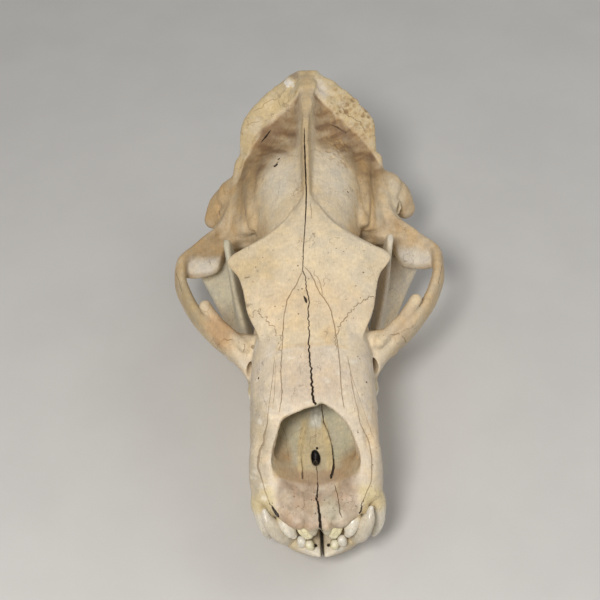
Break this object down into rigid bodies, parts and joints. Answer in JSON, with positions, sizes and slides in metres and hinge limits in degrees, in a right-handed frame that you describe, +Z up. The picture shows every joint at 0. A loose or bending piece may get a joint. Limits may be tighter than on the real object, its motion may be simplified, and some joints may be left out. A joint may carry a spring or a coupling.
{
  "type": "polar bear skull",
  "caption": "Weathered polar bear skull with its lower jaw: long snout with an open nose, flat forehead, high crest, wide cheek arches and big canine teeth.",
  "frame": {"origin": "bottom centre of the bounding box, on the floor plane the lower jaw rests on", "axes": "+Z up, -Y towards the snout, +X towards the animal's left"},
  "size_m": [0.2204, 0.4028, 0.174],
  "materials": {
    "bone": "dry weathered bone, matt with a slight sheen on the teeth"
  },
  "bodies": {
    "root": {"braincase": "bone", "forehead": "bone", "snout": "bone", "cheekbone_left": "bone", "cheekbone_right": "bone", "lower_jaw_left": "bone", "lower_jaw_right": "bone"}
  },
  "joints": []
}
